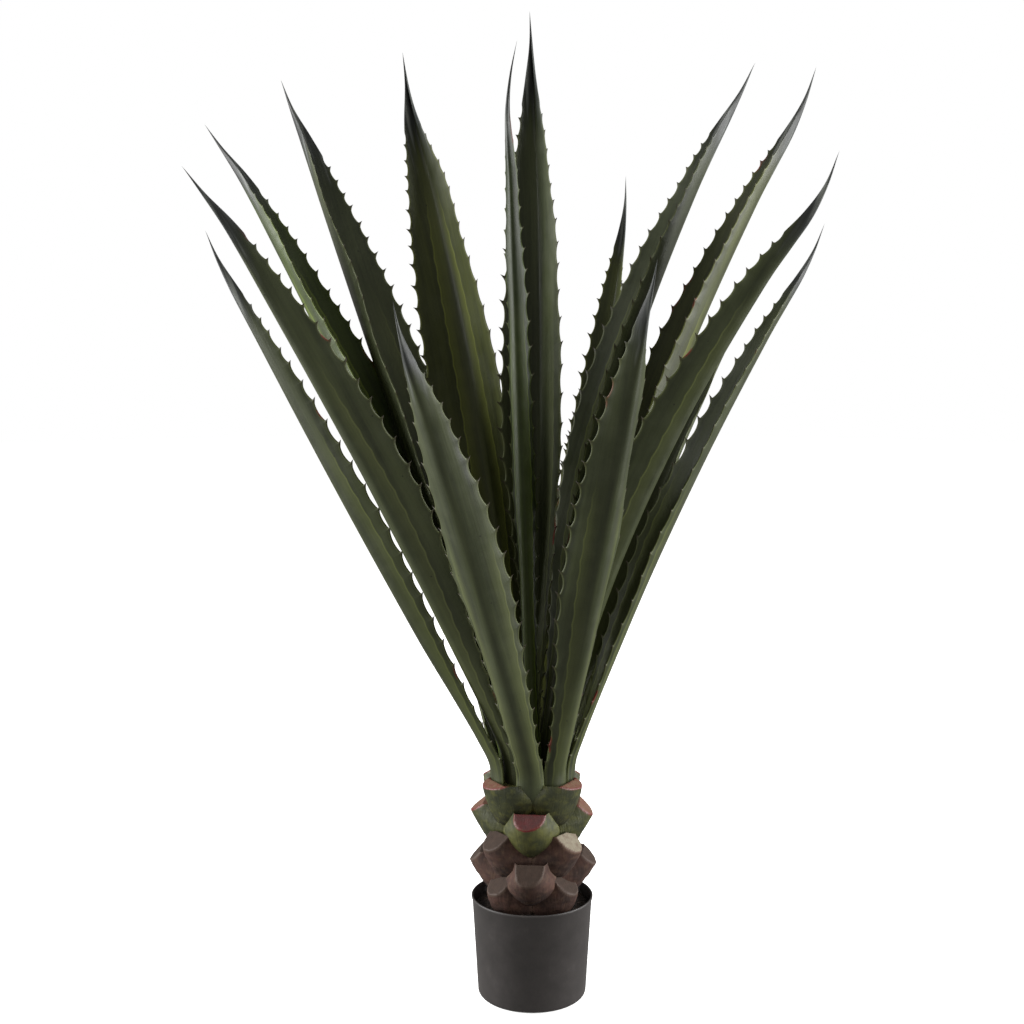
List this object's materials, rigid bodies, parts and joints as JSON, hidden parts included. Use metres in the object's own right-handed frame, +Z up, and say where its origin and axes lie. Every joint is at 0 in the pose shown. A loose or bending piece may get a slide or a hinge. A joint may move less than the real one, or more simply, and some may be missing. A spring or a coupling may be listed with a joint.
{
  "type": "potted agave",
  "caption": "Tall rosette of long channelled, toothed leaves on a short stem clad in cut leaf bases, standing in a plain round pot.",
  "frame": {"origin": "centre of the pot's foot, on the surface that the pot stands on", "axes": "+Z up the stem, +Y to the back of the plant, +X to its right as seen from the front"},
  "size_m": [0.805, 0.72, 1.277],
  "materials": {
    "pot": "plain black moulded plastic, slightly worn",
    "potting_mix": "dark damp potting mix",
    "stem": "dry fibrous brown stem",
    "brown_stub": "dried leaf base with a flat cut face",
    "green_stub": "green leaf base with a reddish cut face",
    "leaf": "dark waxy blue-green leaf with a satin bloom"
  },
  "bodies": {
    "root": {"pot": "pot", "stem": "stem", "leaf_front_left": "leaf", "leaf_front_right": "leaf", "leaf_left_low": "leaf", "leaf_right_low": "leaf", "leaf_rear_left": "leaf", "leaf_rear_middle": "leaf", "leaf_rear_right": "leaf", "leaf_rear_far_right": "leaf", "leaf_left_front": "leaf", "leaf_right_front": "leaf", "leaf_back_left": "leaf", "leaf_right_high": "leaf", "leaf_left_back": "leaf", "leaf_back_wide": "leaf", "leaf_back_right": "leaf", "leaf_right_back": "leaf", "leaf_centre_back": "leaf", "leaf_centre_front": "leaf", "leaf_stub_1a": "brown_stub", "leaf_stub_1b": "brown_stub", "leaf_stub_1c": "brown_stub", "leaf_stub_1d": "brown_stub", "leaf_stub_2a": "brown_stub", "leaf_stub_2b": "brown_stub", "leaf_stub_2c": "brown_stub", "leaf_stub_2d": "brown_stub", "leaf_stub_3a": "brown_stub", "leaf_stub_3b": "brown_stub", "leaf_stub_3c": "brown_stub", "leaf_stub_3d": "brown_stub", "leaf_stub_4a": "green_stub", "leaf_stub_4b": "green_stub", "leaf_stub_4c": "green_stub", "leaf_stub_4d": "green_stub", "leaf_stub_5a": "green_stub", "leaf_stub_5b": "green_stub", "leaf_stub_5c": "green_stub", "leaf_stub_5d": "green_stub", "potting_mix": "potting_mix"}
  },
  "joints": []
}
